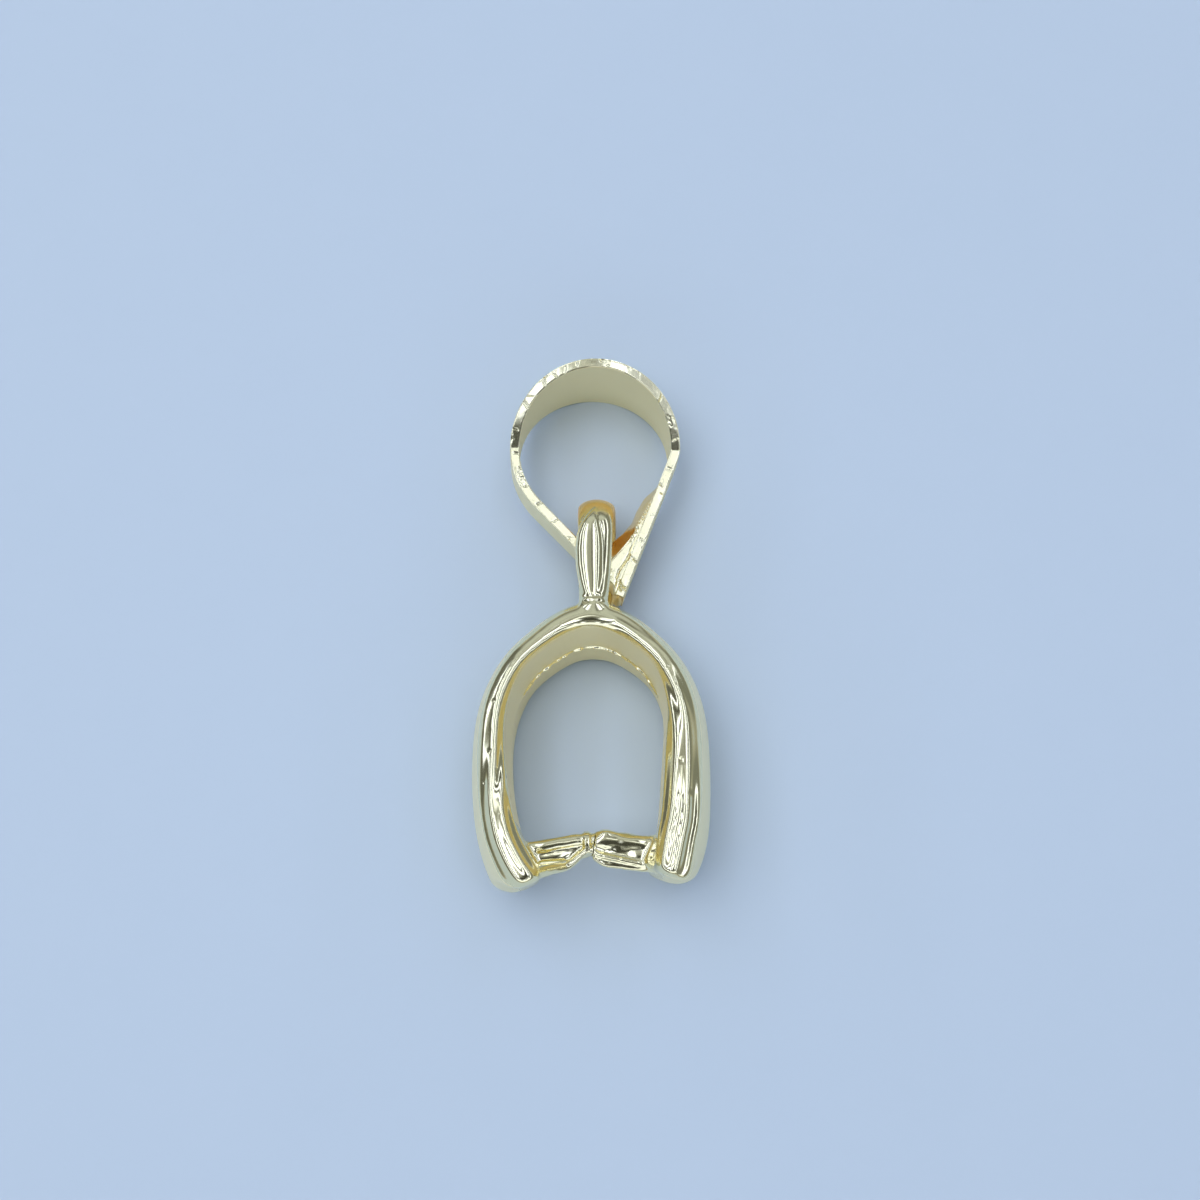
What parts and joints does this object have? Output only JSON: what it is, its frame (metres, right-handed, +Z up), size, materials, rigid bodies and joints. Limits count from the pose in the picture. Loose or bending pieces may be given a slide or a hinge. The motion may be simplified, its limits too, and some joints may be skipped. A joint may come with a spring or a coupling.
{
  "type": "bail finding (pinch bail with a strap loop), lying",
  "caption": "Pinch bail lying on its side: a cast two-armed clip with prongs and an eye, and a strap loop for a chain that swings in the eye.",
  "frame": {"origin": "centre of the footprint, on the surface that the bail lies on", "axes": "+Z up from the surface, +Y from the prongs to the chain loop, +X across the two arms"},
  "size_m": [0.0106, 0.0242, 0.0069],
  "materials": {
    "cast_gold": "polished pale gold plate on a cast surface",
    "strap_gold": "satin pale gold plate with bright sheared edges"
  },
  "bodies": {
    "clip": {"pinch_clip": "cast_gold"},
    "loop": {"chain_loop": "strap_gold"}
  },
  "joints": [
    {"name": "loop_swing", "type": "hinge", "parent": "clip", "child": "loop", "pos_m": [0, 0.0055, 0.00238], "axis": [0.0593, -0.0157, 0.9981], "range_deg": [-2, 80]}
  ]
}
